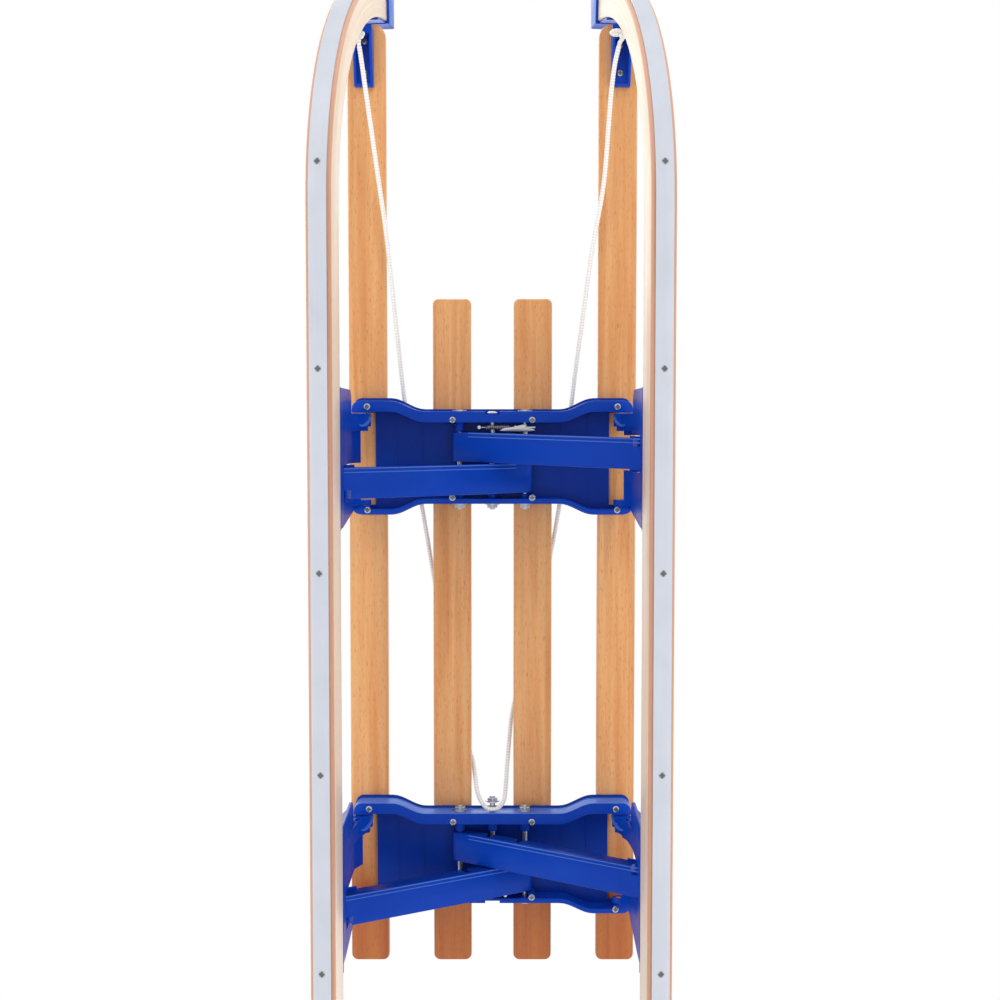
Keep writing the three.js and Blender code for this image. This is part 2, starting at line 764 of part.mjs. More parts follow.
// A five-sided wire through given points, with a flat face at each end
function wireTube(points, radius) {
  const sides = 5;
  const positions = [];
  let up = axisZ;
  points.forEach((point, i) => {
    const before = points[Math.max(0, i - 1)];
    const after = points[Math.min(points.length - 1, i + 1)];
    const along = after.clone().sub(before).normalize();
    up = up.clone().addScaledVector(along, -up.dot(along)).normalize();
    const across = along.clone().cross(up);
    for (let k = 0; k < sides; k += 1) {
      const angle = (k / sides) * 2 * Math.PI;
      const rim = point.clone()
        .addScaledVector(up, radius * Math.cos(angle))
        .addScaledVector(across, radius * Math.sin(angle));
      positions.push(rim.x, rim.y, rim.z);
    }
  });
  const index = [];
  for (let i = 0; i < points.length - 1; i += 1) {
    for (let k = 0; k < sides; k += 1) {
      const a = i * sides + k;
      const b = i * sides + ((k + 1) % sides);
      index.push(a, b, a + sides, b, b + sides, a + sides);
    }
  }
  const last = (points.length - 1) * sides;
  for (let k = 1; k < sides - 1; k += 1) {
    index.push(0, k + 1, k);
    index.push(last, last + k, last + k + 1);
  }
  const geometry = new THREE.BufferGeometry();
  geometry.setAttribute('position', new THREE.Float32BufferAttribute(positions, 3));
  geometry.setIndex(index);
  return geometry;
}

// The least gap between the wire and itself, measured between turns
function leastGap(points) {
  const apart = 5;
  let least = Infinity;
  points.forEach((point, i) => {
    points.slice(i + apart).forEach((other) => {
      least = Math.min(least, point.distanceTo(other));
    });
  });
  return least - springWire;
}

// The post that holds the spring's fixed end, under the tray's floor
function springPost() {
  const x = springStart - springTail - touchGap - postRadius;
  return rodZ(postRadius, -postDrop, springDrop - trayFloor - 2 * touchGap, x, 0, 14);
}

// Latch lever: a stamped plate on a bolt, with a turned tab that the spring pulls on
function latchLever() {
  const start = springStart + springTurns * springPitch + springTail + touchGap;
  const up = springDrop - boltDrop;
  const end = boltX + latchHeight;
  const plate = prismY([
    [start, -latchHeight * 0.35],
    [end, -latchHeight * 0.75],
    [end, -latchHeight * 0.2],
    [boltX + latchHeight * 0.6, up + latchHeight * 0.3],
    [boltX - latchHeight * 0.3, up + latchHeight * 0.6],
    [start, latchHeight * 0.25]
  ], -latchThickness / 2, latchThickness / 2);
  const tab = block(start, start + latchThickness, -latchTab / 2, latchTab / 2,
    -latchHeight * 0.3, latchHeight * 0.2);
  return cut(join([plate, tab]), [rodY(boltRadius + runGap, -overrun, overrun, boltX, up)]);
}

function buildLatches() {
  const path = springPath();
  console.log(`Spring: least gap of the wire to itself ${leastGap(path.slice(2, -2)).toFixed(2)} mm`);
  for (const [end, y, turned] of [
    ['front', trayFrontY + frontSpringY, false],
    ['rear', trayRearY + rearSpringY, true]
  ]) {
    const pieces = [
      [`spring_${end}`, wireTube(path, springWire / 2)],
      [`spring_post_${end}`, springPost()],
      [`latch_${end}`, latchLever()]
    ];
    for (const [name, piece] of pieces) {
      if (turned) piece.rotateZ(Math.PI);
      piece.translate(0, y, seatUnderside - springDrop);
      place(sledge, name, piece, zincSteel);
    }
  }
}

// Tow rope: from one horn back over the slats, round the rear tray's middle bolt, and forward again,
// with each height from the slats' underside
const ropeRoute = [
  [-139.8, -460.6, -60.2],
  [-137.7, -443, -51.5],
  [-134.5, -415, -40.5],
  [-125.1, -340, -23],
  [-114.8, -262, -13],
  [-106, -170, -2],
  [-97.3, -88, 4],
  [-86, -15, 7],
  [-74, 60, 13],
  [-66, 110, 15.4],
  [-52, 190, 15.4],
  [-38, 260, 15.4],
  [-29, 298, 15.4],
  [-22.4, 318, 14.6],
  [-19.8, 332, 8],
  [-17.6, 346, -3],
  [-13, 357, -12.4],
  [-7, 363.2, -17.4],
  [0, 365, -18.7],
  [7, 363.2, -17.4],
  [12.4, 357, -12.4],
  [14.5, 346, -6],
  [16, 325, 2],
  [18, 303, 9.5],
  [22, 265, 15.4],
  [36, 205, 15.4],
  [52, 142, 15.4],
  [67, 75, 15.4],
  [74.5, 30, 11],
  [81.5, -25, 6.4],
  [89.4, -100, 4],
  [99, -175, -2],
  [109, -252, -10],
  [120.5, -320, -20],
  [125.7, -395, -35],
  [127.4, -420, -42.5],
  [130, -443, -51.5],
  [134, -461.2, -60.2]
];

function buildRope() {
  const route = ropeRoute.map(([x, y, z]) => new THREE.Vector3(x, y, seatUnderside + z));
  const curve = new THREE.CatmullRomCurve3(route, false, 'centripetal');
  const rim = arc(0, 0, ropeDiameter / 2, 0, 2 * Math.PI, 8).slice(1);
  const section = new THREE.Shape(rim.map(([u, v]) => new THREE.Vector2(u, v)));
  const rope = new THREE.ExtrudeGeometry(section, { steps: 130, extrudePath: curve, bevelEnabled: false });
  place(sledge, 'tow_rope', rope, whiteRope);
}

buildSlats();
buildTrays();
buildHingePins();
buildRunners();
buildStruts();
buildLatches();
buildRope();

export default sledge;
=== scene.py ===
import bpy, bmesh, json, math
from mathutils import Matrix, Vector


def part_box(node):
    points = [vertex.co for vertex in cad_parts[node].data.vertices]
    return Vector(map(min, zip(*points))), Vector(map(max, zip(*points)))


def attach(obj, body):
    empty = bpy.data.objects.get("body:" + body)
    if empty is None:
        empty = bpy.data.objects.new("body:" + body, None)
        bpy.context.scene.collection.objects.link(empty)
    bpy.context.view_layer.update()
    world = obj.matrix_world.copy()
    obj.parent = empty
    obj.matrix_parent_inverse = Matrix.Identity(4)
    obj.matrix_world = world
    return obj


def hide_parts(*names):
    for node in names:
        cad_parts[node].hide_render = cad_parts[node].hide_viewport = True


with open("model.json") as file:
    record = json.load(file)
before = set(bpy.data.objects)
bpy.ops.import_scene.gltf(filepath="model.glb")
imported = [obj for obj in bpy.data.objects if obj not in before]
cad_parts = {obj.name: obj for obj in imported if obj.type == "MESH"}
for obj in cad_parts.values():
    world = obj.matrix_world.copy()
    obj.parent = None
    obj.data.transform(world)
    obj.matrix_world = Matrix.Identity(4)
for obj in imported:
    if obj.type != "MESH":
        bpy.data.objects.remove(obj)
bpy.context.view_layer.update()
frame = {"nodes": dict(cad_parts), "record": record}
scene = bpy.context.scene
print("frame loaded")

# The camera is below the ground and looks up at the underside, as the sledge was photographed.
camera = {"place": (0.0084, -0.0592, -1.34), "lens": 50.4, "tilt": 3}

def addCamera():
    tilt = math.radians(camera["tilt"])
    data = bpy.data.cameras.new("camera")
    data.lens, data.sensor_width, data.clip_end = camera["lens"], 36, 20
    shooter = bpy.data.objects.new("camera", data)
    c, s = math.cos(tilt), math.sin(tilt)
    x, y, z = camera["place"]
    shooter.matrix_world = Matrix(((1, 0, 0, x), (0, -c, -s, y), (0, s, -c, z), (0, 0, 0, 1)))
    scene.collection.objects.link(shooter)
    scene.camera = shooter

addCamera()

# Shared helpers

def linear(code):
    shares = [int(code[i:i + 2], 16) / 255 for i in (0, 2, 4)]
    return [v / 12.92 if v <= 0.04045 else ((v + 0.055) / 1.055) ** 2.4 for v in shares] + [1]

def addNode(material, kind, settings=None, links=None):
    node = material.node_tree.nodes.new("ShaderNode" + kind)
    for key, value in (settings or {}).items():
        if isinstance(key, str) and hasattr(node, key):
            setattr(node, key, value)
        else:
            node.inputs[key].default_value = value
    for key, source in (links or {}).items():
        material.node_tree.links.new(source, node.inputs[key])
    return node

def newMaterial(name):
    material = bpy.data.materials.new(name)
    material.use_nodes = True
    return material, material.node_tree.nodes["Principled BSDF"]

def makePiece(name, bm, material, body, replaces=()):
    bmesh.ops.recalc_face_normals(bm, faces=bm.faces[:])
    mesh = bpy.data.meshes.new(name)
    bm.to_mesh(mesh)
    bm.free()
    mesh.materials.append(material)
    piece = bpy.data.objects.new(name, mesh)
    scene.collection.objects.link(piece)
    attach(piece, body)
    if replaces:
        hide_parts(*replaces)
    return piece

def smooth(piece, degrees=40):
    # Faces shade smoothly and edges sharper than the angle stay crisp.
    for face in piece.data.polygons:
        face.use_smooth = True
    bm = bmesh.new()
    bm.from_mesh(piece.data)
    for edge in bm.edges:
        edge.smooth = len(edge.link_faces) == 2 and edge.calc_face_angle(0) < math.radians(degrees)
    bm.to_mesh(piece.data)
    bm.free()

def vertsOf(geometry):
    return [g for g in geometry if isinstance(g, bmesh.types.BMVert)]

def facing(centre, outwards):
    # A place whose own Z points outwards.
    return Matrix.Translation(centre) @ Vector(outwards).to_track_quat("Z", "Y").to_matrix().to_4x4()

bodyOf = {node: body for body, nodes in frame["record"]["behaviour"]["bodies"].items() for node in nodes}

def roundedCopy(node, material, width=0.0005, segments=2, edgeAngle=32):
    # The node's own shape again, with its edges broken as on the real part.
    bm = bmesh.new()
    bm.from_mesh(frame["nodes"][node].data)
    bmesh.ops.remove_doubles(bm, verts=bm.verts[:], dist=2e-6)
    bmesh.ops.dissolve_limit(bm, angle_limit=math.radians(0.6), verts=bm.verts[:], edges=bm.edges[:])
    piece = makePiece(node + "_finish", bm, material, bodyOf[node], [node])
    smooth(piece)
    if width:
        broken = piece.modifiers.new("brokenEdges", "BEVEL")
        broken.width, broken.segments, broken.limit_method = width, segments, "ANGLE"
        broken.angle_limit, broken.harden_normals = math.radians(edgeAngle), False
        broken.use_clamp_overlap = True
    return piece

# Tow rope: its route repeats the one in the part's source, in metres.

rope = {"diameter": 0.005, "sides": 24, "ring": 0.0011, "endRings": 3,
        "strands": 4, "braidPitch": 0.0062, "relief": 0.00034}
ropeRoute = [Vector(p) / 1000 for p in (
    (-139.8, -460.6, 152.8), (-137.7, -443, 161.5), (-134.5, -415, 172.5), (-125.1, -340, 190), (-114.8, -262, 200),
    (-106, -170, 211), (-97.3, -88, 217), (-86, -15, 220), (-74, 60, 226), (-66, 110, 228.4),
    (-52, 190, 228.4), (-38, 260, 228.4), (-29, 298, 228.4), (-22.4, 318, 227.6), (-19.8, 332, 221),
    (-17.6, 346, 210), (-13, 357, 200.6), (-7, 363.2, 195.6), (0, 365, 194.3), (7, 363.2, 195.6),
    (12.4, 357, 200.6), (14.5, 346, 207), (16, 325, 215), (18, 303, 222.5), (22, 265, 228.4),
    (36, 205, 228.4), (52, 142, 228.4), (67, 75, 228.4), (74.5, 30, 224), (81.5, -25, 219.4),
    (89.4, -100, 217), (99, -175, 211), (109, -252, 203), (120.5, -320, 193), (125.7, -395, 178),
    (127.4, -420, 170.5), (130, -443, 161.5), (134, -461.2, 152.8))]

def throughPoints(points, parts=24):
    # A centripetal Catmull-Rom curve through the points.
    padded = [2 * points[0] - points[1]] + points + [2 * points[-1] - points[-2]]
    line = []
    for i in range(1, len(padded) - 2):
        p0, p1, p2, p3 = padded[i - 1:i + 3]
        t0 = 0
        t1 = t0 + math.sqrt((p1 - p0).length)
        t2 = t1 + math.sqrt((p2 - p1).length)
        t3 = t2 + math.sqrt((p3 - p2).length)
        for j in range(parts):
            t = t1 + (t2 - t1) * j / parts
            a1 = p0 * ((t1 - t) / (t1 - t0)) + p1 * ((t - t0) / (t1 - t0))
            a2 = p1 * ((t2 - t) / (t2 - t1)) + p2 * ((t - t1) / (t2 - t1))
            a3 = p2 * ((t3 - t) / (t3 - t2)) + p3 * ((t - t2) / (t3 - t2))
            b1 = a1 * ((t2 - t) / (t2 - t0)) + a2 * ((t - t0) / (t2 - t0))
            b2 = a2 * ((t3 - t) / (t3 - t1)) + a3 * ((t - t1) / (t3 - t1))
            line.append(b1 * ((t2 - t) / (t2 - t1)) + b2 * ((t - t1) / (t2 - t1)))
    return line + [points[-1].copy()]

def evenly(line, spacing):
    lengths = [0]
    for a, b in zip(line, line[1:]):
        lengths.append(lengths[-1] + (b - a).length)
    count = round(lengths[-1] / spacing)
    out, k = [], 0
    for i in range(count + 1):
        s = lengths[-1] * i / count
        while k < len(line) - 2 and lengths[k + 1] < s:
            k += 1
        out.append(line[k].lerp(line[k + 1], (s - lengths[k]) / max(lengths[k + 1] - lengths[k], 1e-9)))
    return out, lengths[-1]

def braidedTube(bm, line, radius, sides, closed=False, taper=0):
    # A tube whose skin follows the crossing strands of a braid. The layer braid holds each point's depth.
    depth = bm.verts.layers.float.get("braid") or bm.verts.layers.float.new("braid")
    count = len(line)
    rings, up, run = [], None, 0
    for i, point in enumerate(line):
        ahead = line[(i + 1) % count] if closed else line[min(i + 1, count - 1)]
        behind = line[i - 1] if closed or i else line[0]
        along = (ahead - behind).normalized()
        up = (up - along * up.dot(along)).normalized() if up else along.orthogonal().normalized()
        across = along.cross(up)
        if i:
            run += (point - line[i - 1]).length
        ring = []
        for j in range(sides):
            turn = 2 * math.pi * j / sides
            twist = 2 * math.pi * run / rope["braidPitch"]
            lift = math.cos(rope["strands"] * turn + twist) * math.cos(rope["strands"] * turn - twist)
            rise = radius + rope["relief"] * (lift - 1) * 0.5
            if taper and not closed:
                rise *= min(1, 0.55 + 0.45 * min(i, count - 1 - i) / taper)
            vert = bm.verts.new(point + rise * (math.cos(turn) * up + math.sin(turn) * across))
            vert[depth] = 0.5 + 0.5 * lift
            ring.append(vert)
        rings.append(ring)
    for a, b in zip(rings, rings[1:] + ([rings[0]] if closed else [])):
        for j in range(sides):
            bm.faces.new((a[j], a[(j + 1) % sides], b[(j + 1) % sides], b[j]))
    if not closed:
        bm.faces.new(list(reversed(rings[0])))
        bm.faces.new(rings[-1])

def makeBraidedCord():
    # Braided polypropylene cord: off-white, slightly shiny strands, with painted shade greying the grooves between
    # them.
    material, shader = newMaterial("braidedPolypropyleneCord")
    coords = addNode(material, "TexCoord")
    depth = addNode(material, "Attribute", {"attribute_name": "braid"})
    fibres = addNode(material, "TexNoise", {"Scale": 1500, "Detail": 3}, {"Vector": coords.outputs["Object"]})
    soil = addNode(material, "TexNoise", {"Scale": 30, "Detail": 4}, {"Vector": coords.outputs["Object"]})
    # The deeper the braid lies, the more painted shade darkens the strand colour.
    paintedGrooveShade = addNode(material, "MapRange", {"From Min": 0.05, "From Max": 0.7}, {"Value": depth.outputs["Fac"]})
    strand = addNode(material, "Mix", {"data_type": "RGBA", 6: linear("cfcdc7"), 7: linear("f6f5f1")},
                     {0: paintedGrooveShade.outputs[0]})
    soiling = addNode(material, "MapRange", {"From Min": 0.55, "From Max": 0.85, "To Max": 0.15},
                      {"Value": soil.outputs["Fac"]})
    colour = addNode(material, "Mix", {"data_type": "RGBA", 7: linear("cfc9bb")},
                     {0: soiling.outputs[0], 6: strand.outputs[2]})
    bump = addNode(material, "Bump", {"Strength": 0.5, "Distance": 0.0002}, {"Height": fibres.outputs["Fac"]})
    material.node_tree.links.new(colour.outputs[2], shader.inputs["Base Color"])
    material.node_tree.links.new(bump.outputs[0], shader.inputs["Normal"])
    shader.inputs["Roughness"].default_value = 0.62
    shader.inputs["Sheen Weight"].default_value = 0.2
    return material

braidedCord = makeBraidedCord()

def addRope():
    line, length = evenly(throughPoints(ropeRoute), rope["ring"])
    bm = bmesh.new()
    braidedTube(bm, line, rope["diameter"] / 2, rope["sides"], taper=rope["endRings"])
    tube = makePiece("towRope", bm, braidedCord, "seat", ["tow_rope"])
    smooth(tube, 60)
    return tube, line, length

# The knot is pulled tight, so its cord is squeezed thinner. Its free end is in mm from its middle.
knot = {"place": (0.1394, -0.4698, 0.1512), "size": 0.0017, "cord": 0.0023, "sides": 18, "ring": 0.0009,
        "steps": 110, "lap": 0.0014, "freeEnd": ((0, -2, -1), (-6, -3.9, 0), (-11.6, -3.9, 1), (-14.2, -2.2, 1.5),
                                                 (-11.6, -0.5, 1.8), (-6, -0.4, 2), (0, 0, 2))}

def addKnot(side, freeEnd=()):
    # An overhand knot pulled tight, drawn as a trefoil.
    name = "left" if side > 0 else "right"
    x, y, z = knot["place"]
    centre = Vector((side * x, y, z))
    back = Vector((0, 0.86, 0.5)).normalized()
    across = Vector((1, 0, 0))
    up = back.cross(across)
    loop = []
    for i in range(knot["steps"]):
        t = 2 * math.pi * i / knot["steps"]
        loop.append(centre + knot["size"] * ((math.sin(t) + 2 * math.sin(2 * t)) * across * 0.86
            + (math.cos(t) - 2 * math.cos(2 * t)) * up * 0.86 - 1.1 * math.sin(3 * t) * back))
    bm = bmesh.new()
    braidedTube(bm, loop, knot["cord"], knot["sides"], closed=True)
    body = "folding_runner_" + name
    tied = makePiece("towRopeKnot_" + name, bm, braidedCord, body, ["rope_knot_" + name])
    smooth(tied, 60)
    bm = bmesh.new()
    # The cord runs on from the knot to the rope, and on one side its end is doubled back through the knot.
    last = ropeRoute[-1] if side > 0 else ropeRoute[0]
    before = ropeRoute[-2] if side > 0 else ropeRoute[1]
    neck = [centre, centre.lerp(last, 0.5), last, last + (before - last).normalized() * knot["lap"]]
    line, _ = evenly(throughPoints(neck, 12), knot["ring"])
    braidedTube(bm, line, knot["cord"], knot["sides"])
    if freeEnd:
        line, _ = evenly(throughPoints([centre + Vector(p) / 1000 for p in freeEnd], 12), knot["ring"])
        braidedTube(bm, line, knot["cord"], knot["sides"], taper=2)
    loose = makePiece("towRopeEnd_" + name, bm, braidedCord, body)
    smooth(loose, 60)
    return [tied, loose]

towRope, ropeLine, ropeLength = addRope()
knots = addKnot(1, knot["freeEnd"]) + addKnot(-1)
print("rope made,", round(ropeLength, 3), "m")

# Wood

slats = {"pale": "dca46b", "band": "cb864a", "fleck": "a5652f",
         "rearTint": "c99a62", "fadeFrom": 0.37, "fadeTo": 0.46}

def makeVarnishedBeech():
    # Steamed beech under clear varnish: warm pinkish tan, faint long growth bands, short dark pore flecks along
    # the grain, and the darker rear ends of the photograph.
    material, shader = newMaterial("varnishedBeech")
    coords = addNode(material, "TexCoord").outputs["Object"]
    lengthways = addNode(material, "Mapping", {"Scale": (1, 0.035, 1)}, {"Vector": coords})
    bands = addNode(material, "TexNoise", {"Scale": 95, "Detail": 4, "Roughness": 0.6, "Distortion": 0.4},
                    {"Vector": lengthways.outputs[0]})
    bandShare = addNode(material, "MapRange", {"From Min": 0.36, "From Max": 0.68}, {"Value": bands.outputs["Fac"]})
    wood = addNode(material, "Mix", {"data_type": "RGBA", 6: linear(slats["pale"]), 7: linear(slats["band"])},
                   {0: bandShare.outputs[0]})
    pores = addNode(material, "Mapping", {"Scale": (1, 0.16, 1)}, {"Vector": coords})
    # Real pores are 0.1 mm wide; they are drawn about 0.6 mm wide so that they show.
    pore = addNode(material, "TexNoise", {"Scale": 900, "Detail": 1}, {"Vector": pores.outputs[0]})
    poreShare = addNode(material, "MapRange", {"From Min": 0.6, "From Max": 0.74, "To Max": 0.5},
                        {"Value": pore.outputs["Fac"]})
    flecked = addNode(material, "Mix", {"data_type": "RGBA", 7: linear(slats["fleck"])},
                      {0: poreShare.outputs[0], 6: wood.outputs[2]})
    split = addNode(material, "SeparateXYZ", None, {0: coords})
    fade = addNode(material, "MapRange", {"From Min": slats["fadeFrom"], "From Max": slats["fadeTo"]},
                   {"Value": split.outputs["Y"]})
    tinted = addNode(material, "Mix", {"data_type": "RGBA", "blend_type": "MULTIPLY", 7: linear(slats["rearTint"])},
                     {0: fade.outputs[0], 6: flecked.outputs[2]})
    rough = addNode(material, "MapRange", {"To Min": 0.32, "To Max": 0.5}, {"Value": bands.outputs["Fac"]})
    bump = addNode(material, "Bump", {"Strength": 0.25, "Distance": 0.0002}, {"Height": pore.outputs["Fac"]})
    links = material.node_tree.links
    links.new(tinted.outputs[2], shader.inputs["Base Color"])
    links.new(rough.outputs[0], shader.inputs["Roughness"])
    links.new(bump.outputs[0], shader.inputs["Normal"])
    shader.inputs["Coat Weight"].default_value = 0.25
    shader.inputs["Coat Roughness"].default_value = 0.22
    return material

# The runner's own frame: its bar is upright in it and its rail lies flat at the bottom.
runner = {"gauge": 0.1655, "lift": 0.001169, "splay": 8, "hornStartY": -0.2748, "hornCentreZ": 0.2745,
          "outerRadius": 0.272, "middleRadius": 0.255, "ply": 0.00425,
          "pale": "ecdcc8", "band": "e5cfb4", "glue": "caa482", "outer": "d0a084", "fleck": "cfb294", "tone": "d2b088"}

def runnerFrame(side):
    return (Matrix.Translation((side * runner["gauge"], 0, runner["lift"]))
            @ Matrix.Rotation(math.radians(-side * runner["splay"]), 4, "Y"))

def makeLaminatedAsh(side):
    # Steam-bent laminated ash, varnished: creamy plies that follow the horn's curve, thin brown glue lines and
    # a pinker outer ply.
    material, shader = newMaterial("laminatedAsh_" + ("left" if side > 0 else "right"))
    coords = addNode(material, "TexCoord").outputs["Object"]
    own = addNode(material, "Mapping",
                  {"vector_type": "TEXTURE", "Location": (side * runner["gauge"], 0, runner["lift"]),
                   "Rotation": (0, math.radians(-side * runner["splay"]), 0)}, {"Vector": coords})
    split = addNode(material, "SeparateXYZ", None, {0: own.outputs[0]})
    ahead = addNode(material, "Math", {"operation": "SUBTRACT", 1: runner["hornStartY"]}, {0: split.outputs["Y"]})
    inArc = addNode(material, "Math", {"operation": "MINIMUM", 1: 0.0}, {0: ahead.outputs[0]})
    straight = addNode(material, "Math", {"operation": "MAXIMUM", 1: 0.0}, {0: ahead.outputs[0]})
    down = addNode(material, "Math", {"operation": "SUBTRACT", 0: runner["hornCentreZ"]},
                   {1: split.outputs["Z"]})
    arm = addNode(material, "CombineXYZ", None, {0: inArc.outputs[0], 1: down.outputs[0]})
    radius = addNode(material, "VectorMath", {"operation": "LENGTH"}, {0: arm.outputs[0]})
    turn = addNode(material, "Math", {"operation": "ARCTAN2"}, {0: inArc.outputs[0], 1: down.outputs[0]})
    along = addNode(material, "Math", {"operation": "MULTIPLY_ADD", 1: runner["middleRadius"]},
                    {0: turn.outputs[0], 2: straight.outputs[0]})
    grain = addNode(material, "CombineXYZ", None,
                    {0: split.outputs["X"], 1: along.outputs[0], 2: radius.outputs["Value"]})
    lengthways = addNode(material, "Mapping", {"Scale": (1, 0.03, 1)}, {"Vector": grain.outputs[0]})
    bands = addNode(material, "TexNoise", {"Scale": 160, "Detail": 4, "Roughness": 0.6},
                    {"Vector": lengthways.outputs[0]})
    bandShare = addNode(material, "MapRange", {"From Min": 0.38, "From Max": 0.66}, {"Value": bands.outputs["Fac"]})
    wood = addNode(material, "Mix", {"data_type": "RGBA", 6: linear(runner["pale"]), 7: linear(runner["band"])},
                   {0: bandShare.outputs[0]})
    # Depth into the bar from its outer face, in plies.
    plies = addNode(material, "MapRange", {"clamp": False, "From Min": runner["outerRadius"],
                                           "From Max": runner["outerRadius"] - runner["ply"]},
                    {"Value": radius.outputs["Value"]})
    whole = addNode(material, "Math", {"operation": "FLOOR"}, {0: plies.outputs[0]})
    plyTone = addNode(material, "TexWhiteNoise", {"noise_dimensions": "1D"}, {"W": whole.outputs[0]})
    plyShare = addNode(material, "MapRange", {"To Max": 0.1}, {"Value": plyTone.outputs["Value"]})
    toned = addNode(material, "Mix", {"data_type": "RGBA", 7: linear(runner["tone"])},
                    {0: plyShare.outputs[0], 6: wood.outputs[2]})
    part = addNode(material, "Math", {"operation": "FRACT"}, {0: plies.outputs[0]})
    offLine = addNode(material, "Math", {"operation": "PINGPONG", 1: 0.5}, {0: part.outputs[0]})
    # Glue lines are 0.1 mm; they are drawn 0.35 mm wide so that they show.
    line = addNode(material, "MapRange", {"From Min": 0.04, "From Max": 0.07, "To Min": 0.32, "To Max": 0},
                   {"Value": offLine.outputs[0]})
    glued = addNode(material, "Mix", {"data_type": "RGBA", 7: linear(runner["glue"])},
                    {0: line.outputs[0], 6: toned.outputs[2]})
    skin = addNode(material, "MapRange", {"From Min": 0.9, "From Max": 0.6}, {"Value": plies.outputs[0]})
    skinned = addNode(material, "Mix", {"data_type": "RGBA", 7: linear(runner["outer"])},
                      {0: skin.outputs[0], 6: glued.outputs[2]})
    pores = addNode(material, "Mapping", {"Scale": (1, 0.1, 1)}, {"Vector": grain.outputs[0]})
    pore = addNode(material, "TexNoise", {"Scale": 800, "Detail": 1}, {"Vector": pores.outputs[0]})
    poreShare = addNode(material, "MapRange", {"From Min": 0.6, "From Max": 0.75, "To Max": 0.4},
                        {"Value": pore.outputs["Fac"]})
    flecked = addNode(material, "Mix", {"data_type": "RGBA", 7: linear(runner["fleck"])},
                      {0: poreShare.outputs[0], 6: skinned.outputs[2]})
    bump = addNode(material, "Bump", {"Strength": 0.2, "Distance": 0.0002}, {"Height": pore.outputs["Fac"]})
    links = material.node_tree.links
    links.new(flecked.outputs[2], shader.inputs["Base Color"])
    links.new(bump.outputs[0], shader.inputs["Normal"])
    shader.inputs["Roughness"].default_value = 0.42
    shader.inputs["Coat Weight"].default_value = 0.2
    shader.inputs["Coat Roughness"].default_value = 0.25
    return material

varnishedBeech = makeVarnishedBeech()
laminatedAsh = {1: makeLaminatedAsh(1), -1: makeLaminatedAsh(-1)}

# Plastic and metal

# The pale tint is painted highlight and the deep one is painted shade; worn is the plastic's own scuffing.
plastic = {"colour": "063fae", "worn": "114cb8", "paintedHighlight": "5d86d6", "paintedShade": "041c66", "grit": 0.0006}

def makeMouldedNylon(name, tint, share):
    # Injection-moulded blue nylon: even colour, a fine eroded texture from the mould, soft wide highlights.
    # A share of the tint paints highlight onto faces, making them paler, or paints shade onto them, making them
    # deeper.
    material, shader = newMaterial(name)
    coords = addNode(material, "TexCoord").outputs["Object"]
    grit = addNode(material, "TexNoise", {"Scale": 1 / plastic["grit"], "Detail": 2}, {"Vector": coords})
    flow = addNode(material, "TexNoise", {"Scale": 26, "Detail": 3}, {"Vector": coords})
    scuff = addNode(material, "MapRange", {"From Min": 0.52, "From Max": 0.8, "To Max": 0.5},
                    {"Value": flow.outputs["Fac"]})
    colour = addNode(material, "Mix",
                     {"data_type": "RGBA", 6: linear(plastic["colour"]), 7: linear(plastic["worn"])},
                     {0: scuff.outputs[0]})
    tinted = addNode(material, "Mix", {"data_type": "RGBA", 0: share, 7: linear(plastic[tint])},
                     {6: colour.outputs[2]})
    rough = addNode(material, "MapRange", {"To Min": 0.24, "To Max": 0.42}, {"Value": flow.outputs["Fac"]})
    bump = addNode(material, "Bump", {"Strength": 0.18, "Distance": 0.00012}, {"Height": grit.outputs["Fac"]})
    links = material.node_tree.links
    links.new(tinted.outputs[2], shader.inputs["Base Color"])
    links.new(rough.outputs[0], shader.inputs["Roughness"])
    links.new(bump.outputs[0], shader.inputs["Normal"])
    shader.inputs["IOR"].default_value = 1.52
    shader.inputs["Specular IOR Level"].default_value = 0.16
    return material

def makeDrawnSteel():
    # Cold-drawn bright steel strip: cool grey, fine draw lines along its length, duller where snow has run.
    material, shader = newMaterial("drawnSteelStrip")
    coords = addNode(material, "TexCoord").outputs["Object"]
    lengthways = addNode(material, "Mapping", {"Scale": (1, 0.01, 0.4)}, {"Vector": coords})
    draw = addNode(material, "TexNoise", {"Scale": 900, "Detail": 2}, {"Vector": lengthways.outputs[0]})
    cloud = addNode(material, "TexNoise", {"Scale": 22, "Detail": 4}, {"Vector": coords})
    colour = addNode(material, "Mix", {"data_type": "RGBA", 6: linear("d0d5df"), 7: linear("dfe3ec")},
                     {0: cloud.outputs["Fac"]})
    rough = addNode(material, "MapRange", {"From Min": 0.3, "From Max": 0.7, "To Min": 0.34, "To Max": 0.5},
                    {"Value": draw.outputs["Fac"]})
    bump = addNode(material, "Bump", {"Strength": 0.12, "Distance": 0.00008}, {"Height": draw.outputs["Fac"]})
    links = material.node_tree.links
    links.new(colour.outputs[2], shader.inputs["Base Color"])
    links.new(rough.outputs[0], shader.inputs["Roughness"])
    links.new(bump.outputs[0], shader.inputs["Normal"])
    shader.inputs["Metallic"].default_value = 0.85
    return material

